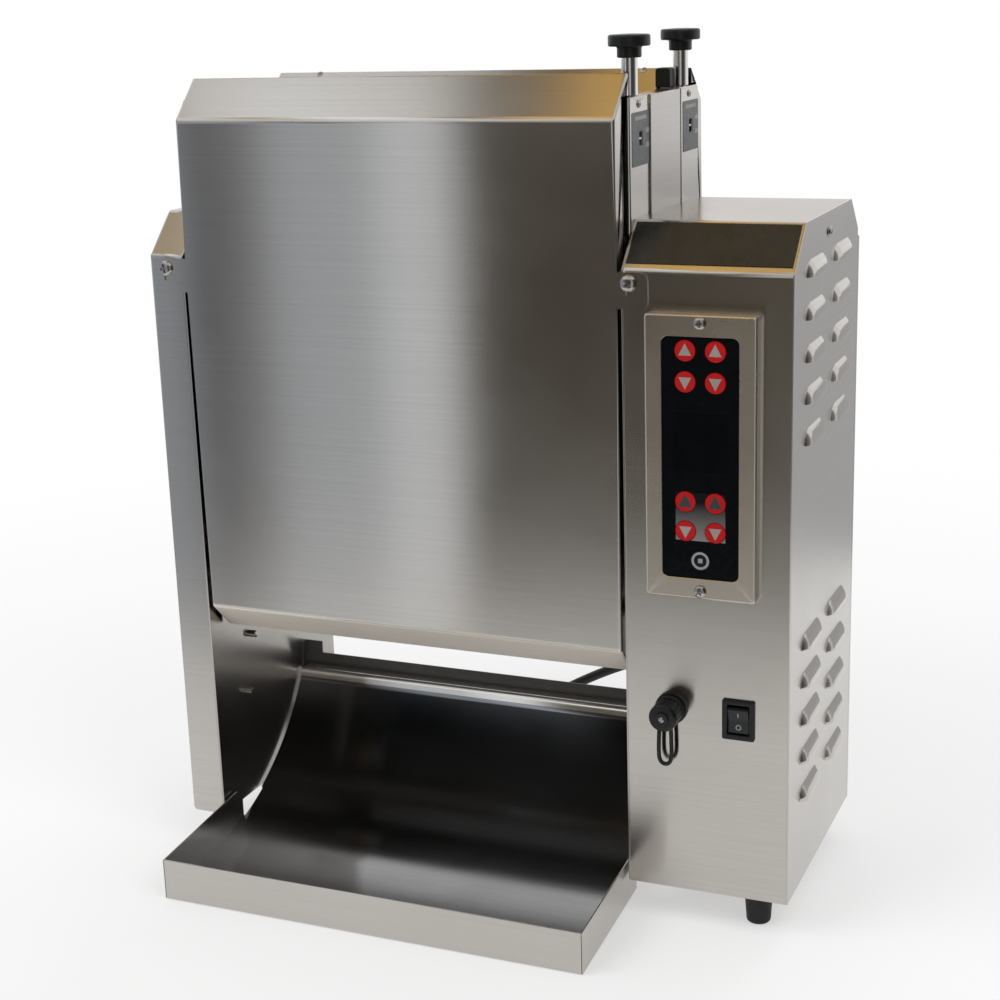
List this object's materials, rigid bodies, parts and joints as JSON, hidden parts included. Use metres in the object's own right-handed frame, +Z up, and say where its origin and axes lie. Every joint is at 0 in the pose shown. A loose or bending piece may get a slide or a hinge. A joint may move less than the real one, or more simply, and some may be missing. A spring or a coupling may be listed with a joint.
{
  "type": "vertical contact toaster",
  "caption": "Upright bun toaster with belt conveyors either side of a heated platen, sheet steel covers, a side control box and a sloping discharge chute.",
  "frame": {"origin": "on the table, under the middle of the machine's box without its cord", "axes": "+X to the control box side, -Y to the front where the chute is, +Z up"},
  "size_m": [0.5336, 0.483, 0.6793],
  "materials": {
    "stainless_sheet": "brushed, level grain",
    "frame_steel": "brushed",
    "bright_steel": "turned and polished",
    "plated_steel": "zinc plated",
    "roller_alloy": "turned",
    "cast_platen": "cast and ground",
    "element_sheath": "heat darkened",
    "bronze_bush": "sintered",
    "motor_paint": "satin",
    "black_enamel": "satin",
    "black_plastic": "moulded",
    "black_rubber": "moulded",
    "cord_rubber": "matt",
    "black_film": "satin film",
    "display_lens": "smoked",
    "red_key": "satin film",
    "circuit_board": "solder mask",
    "grey_label": "printed",
    "release_belt": "coated glass cloth"
  },
  "bodies": {
    "machine": {"left_side_frame": "frame_steel", "right_side_frame": "frame_steel", "left_post_shell": "stainless_sheet", "control_box_shell": "stainless_sheet", "side_panel": "stainless_sheet", "badge_plate": "black_enamel", "front_cover": "stainless_sheet", "rear_cover": "stainless_sheet", "panel_screws": "bright_steel", "keypad_bezel": "stainless_sheet", "keypad_overlay": "black_film", "display_window": "display_lens", "control_board": "circuit_board", "rocker_housing": "black_plastic", "port_body": "black_plastic", "cap_tether": "black_rubber", "feet": "black_rubber", "front_scale_bracket": "stainless_sheet", "rear_scale_bracket": "stainless_sheet", "scale_labels": "grey_label", "rear_guide_stop": "black_plastic", "platen_front": "cast_platen", "platen_rear": "cast_platen", "heating_element": "element_sheath", "platen_brackets": "plated_steel", "bun_guides": "stainless_sheet", "shaft_bushes": "bronze_bush", "front_gearmotor": "motor_paint", "rear_gearmotor": "motor_paint", "rear_crossbar": "black_enamel", "cord_gland": "black_plastic", "cord": "cord_rubber", "cord_coil": "cord_rubber", "cord_plug": "cord_rubber"},
    "front_drive": {"front_drive_roller": "roller_alloy"},
    "rear_drive": {"rear_drive_roller": "roller_alloy"},
    "front_carriage_body": {"front_carriage": "plated_steel", "front_belt": "release_belt"},
    "rear_carriage_body": {"rear_carriage": "plated_steel", "rear_belt": "release_belt"},
    "front_idler": {"front_idler_roller": "roller_alloy"},
    "rear_idler": {"rear_idler_roller": "roller_alloy"},
    "front_adjuster": {"front_adjuster_screw": "bright_steel", "front_adjuster_knob": "black_plastic"},
    "rear_adjuster": {"rear_adjuster_screw": "bright_steel", "rear_adjuster_knob": "black_plastic"},
    "front_pointer": {"front_pointer_nut": "plated_steel"},
    "rear_pointer": {"rear_pointer_nut": "plated_steel"},
    "rocker": {"rocker_paddle": "black_plastic"},
    "cap": {"port_cap": "black_plastic"},
    "chute": {"bun_chute": "stainless_sheet"},
    "key_upper_left_up_body": {"key_upper_left_up": "red_key"},
    "key_upper_right_up_body": {"key_upper_right_up": "red_key"},
    "key_upper_left_down_body": {"key_upper_left_down": "red_key"},
    "key_upper_right_down_body": {"key_upper_right_down": "red_key"},
    "key_lower_left_up_body": {"key_lower_left_up": "red_key"},
    "key_lower_right_up_body": {"key_lower_right_up": "red_key"},
    "key_lower_left_down_body": {"key_lower_left_down": "red_key"},
    "key_lower_right_down_body": {"key_lower_right_down": "red_key"},
    "key_start_body": {"key_start": "red_key"}
  },
  "joints": [
    {"name": "front_drive_spin", "type": "hinge", "parent": "machine", "child": "front_drive", "pos_m": [-0.051, -0.009, 0.24], "axis": [1, 0, 0], "continuous": true},
    {"name": "front_lane_tilt", "type": "hinge", "parent": "machine", "child": "front_carriage_body", "pos_m": [-0.051, -0.009, 0.24], "axis": [1, 0, 0], "range_deg": [-0.7, 0.7]},
    {"name": "front_idler_spin", "type": "hinge", "parent": "front_carriage_body", "child": "front_idler", "pos_m": [-0.051, -0.009, 0.6], "axis": [1, 0, 0], "continuous": true},
    {"name": "front_adjuster_turn", "type": "hinge", "parent": "machine", "child": "front_adjuster", "pos_m": [0.12575, -0.0087, 0.65], "axis": [0, 0, 1], "range_deg": [-720, 720]},
    {"name": "front_pointer_climb", "type": "slide", "parent": "machine", "child": "front_pointer", "axis": [0, 0, 1], "range_m": [-0.0041, 0.0041]},
    {"name": "rear_drive_spin", "type": "hinge", "parent": "machine", "child": "rear_drive", "pos_m": [-0.051, 0.1076, 0.24], "axis": [1, 0, 0], "continuous": true},
    {"name": "rear_lane_tilt", "type": "hinge", "parent": "machine", "child": "rear_carriage_body", "pos_m": [-0.051, 0.1076, 0.24], "axis": [1, 0, 0], "range_deg": [-0.7, 0.7]},
    {"name": "rear_idler_spin", "type": "hinge", "parent": "rear_carriage_body", "child": "rear_idler", "pos_m": [-0.051, 0.1076, 0.6], "axis": [1, 0, 0], "continuous": true},
    {"name": "rear_adjuster_turn", "type": "hinge", "parent": "machine", "child": "rear_adjuster", "pos_m": [0.12575, 0.1153, 0.65], "axis": [0, 0, 1], "range_deg": [-720, 720]},
    {"name": "rear_pointer_climb", "type": "slide", "parent": "machine", "child": "rear_pointer", "axis": [0, 0, 1], "range_m": [-0.0041, 0.0041]},
    {"name": "mains_switch_rock", "type": "hinge", "parent": "machine", "child": "rocker", "pos_m": [0.22275, -0.0517, 0.1775], "axis": [1, 0, 0], "range_deg": [-18, 0]},
    {"name": "port_cap_twist", "type": "hinge", "parent": "machine", "child": "cap", "pos_m": [0.17025, -0.0667, 0.181], "axis": [0, 1, 0], "range_deg": [0, 90]},
    {"name": "chute_pull", "type": "slide", "parent": "machine", "child": "chute", "axis": [0, -1, 0], "range_m": [0, 0.25]},
    {"name": "key_upper_left_up_press", "type": "slide", "parent": "machine", "child": "key_upper_left_up_body", "axis": [0, 1, 0], "range_m": [0, 0.0005], "stiffness_N_per_m": 2500},
    {"name": "key_upper_right_up_press", "type": "slide", "parent": "machine", "child": "key_upper_right_up_body", "axis": [0, 1, 0], "range_m": [0, 0.0005], "stiffness_N_per_m": 2500},
    {"name": "key_upper_left_down_press", "type": "slide", "parent": "machine", "child": "key_upper_left_down_body", "axis": [0, 1, 0], "range_m": [0, 0.0005], "stiffness_N_per_m": 2500},
    {"name": "key_upper_right_down_press", "type": "slide", "parent": "machine", "child": "key_upper_right_down_body", "axis": [0, 1, 0], "range_m": [0, 0.0005], "stiffness_N_per_m": 2500},
    {"name": "key_lower_left_up_press", "type": "slide", "parent": "machine", "child": "key_lower_left_up_body", "axis": [0, 1, 0], "range_m": [0, 0.0005], "stiffness_N_per_m": 2500},
    {"name": "key_lower_right_up_press", "type": "slide", "parent": "machine", "child": "key_lower_right_up_body", "axis": [0, 1, 0], "range_m": [0, 0.0005], "stiffness_N_per_m": 2500},
    {"name": "key_lower_left_down_press", "type": "slide", "parent": "machine", "child": "key_lower_left_down_body", "axis": [0, 1, 0], "range_m": [0, 0.0005], "stiffness_N_per_m": 2500},
    {"name": "key_lower_right_down_press", "type": "slide", "parent": "machine", "child": "key_lower_right_down_body", "axis": [0, 1, 0], "range_m": [0, 0.0005], "stiffness_N_per_m": 2500},
    {"name": "key_start_press", "type": "slide", "parent": "machine", "child": "key_start_body", "axis": [0, 1, 0], "range_m": [0, 0.0005], "stiffness_N_per_m": 2500}
  ],
  "couplings": [
    {"joint": "front_idler_spin", "follows": "front_drive_spin", "ratio": 1},
    {"joint": "front_pointer_climb", "follows": "front_lane_tilt", "m_per_rad": 0.3255},
    {"joint": "front_adjuster_turn", "follows": "front_lane_tilt", "ratio": -1022.6},
    {"joint": "rear_idler_spin", "follows": "rear_drive_spin", "ratio": 1},
    {"joint": "rear_pointer_climb", "follows": "rear_lane_tilt", "m_per_rad": -0.3255},
    {"joint": "rear_adjuster_turn", "follows": "rear_lane_tilt", "ratio": 1022.6}
  ]
}
